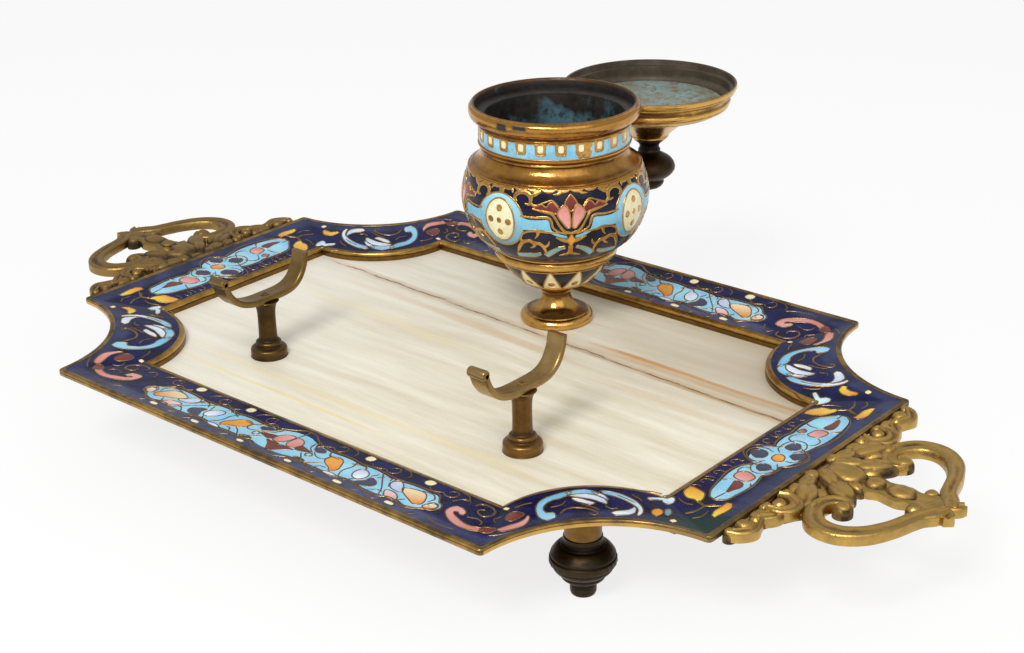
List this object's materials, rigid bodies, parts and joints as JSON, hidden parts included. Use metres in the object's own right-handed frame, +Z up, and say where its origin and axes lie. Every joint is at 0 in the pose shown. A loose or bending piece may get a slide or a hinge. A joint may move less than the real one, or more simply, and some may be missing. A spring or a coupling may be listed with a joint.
{
  "type": "desk inkstand",
  "caption": "Footed brass tray with an enamelled border and stone floor, cast loop handles, pen rests and a bellied enamelled inkwell with a hinged lid that opens flat behind it.",
  "frame": {"origin": "middle of the bounding box seen from above, on the plane the feet stand on, with the lid lying open", "axes": "+X along the tray towards the right handle, +Y from the pen rests towards the inkwell and the open lid, +Z up"},
  "size_m": [0.334, 0.2166, 0.0985],
  "materials": {
    "aged_brass": "aged, brown",
    "gilt_brass": "gilt, bright on the high parts",
    "dark_bronze": "dark patina",
    "cobalt_enamel": "glossy enamel over copper",
    "sky_enamel": "glossy enamel over copper",
    "onyx": "polished, banded",
    "lid_patina": "dull grey-green patina",
    "steel": "plain"
  },
  "bodies": {
    "stand": {"tray_frame": "aged_brass", "stone_wall": "aged_brass", "enamel_border": "cobalt_enamel", "onyx_slab": "onyx", "base_plate": "aged_brass", "plate_screws": "steel", "foot_front_left": "dark_bronze", "foot_front_right": "dark_bronze", "foot_back_left": "dark_bronze", "foot_back_right": "dark_bronze", "handle_left": "gilt_brass", "handle_right": "gilt_brass", "handle_screws": "steel", "rest_post_left": "dark_bronze", "rest_post_right": "dark_bronze", "rest_cradle_left": "dark_bronze", "rest_cradle_right": "dark_bronze", "stud_nuts": "steel", "stud_washers": "steel", "well_foot": "gilt_brass", "well_bowl": "cobalt_enamel", "well_ring": "gilt_brass", "well_body": "cobalt_enamel", "well_collar": "gilt_brass", "neck_band": "sky_enamel", "well_bolt": "steel", "hinge_well_leaf": "gilt_brass", "hinge_pin": "aged_brass"},
    "lid_body": {"lid": "gilt_brass", "lid_lining": "lid_patina", "lid_finial": "dark_bronze", "hinge_lid_leaf": "gilt_brass"}
  },
  "joints": [
    {"name": "lid_hinge", "type": "hinge", "parent": "stand", "child": "lid_body", "pos_m": [-0.00191, 0.05205, 0.09505], "axis": [0.9976, 0.0698, 0], "range_deg": [0, 180]}
  ]
}
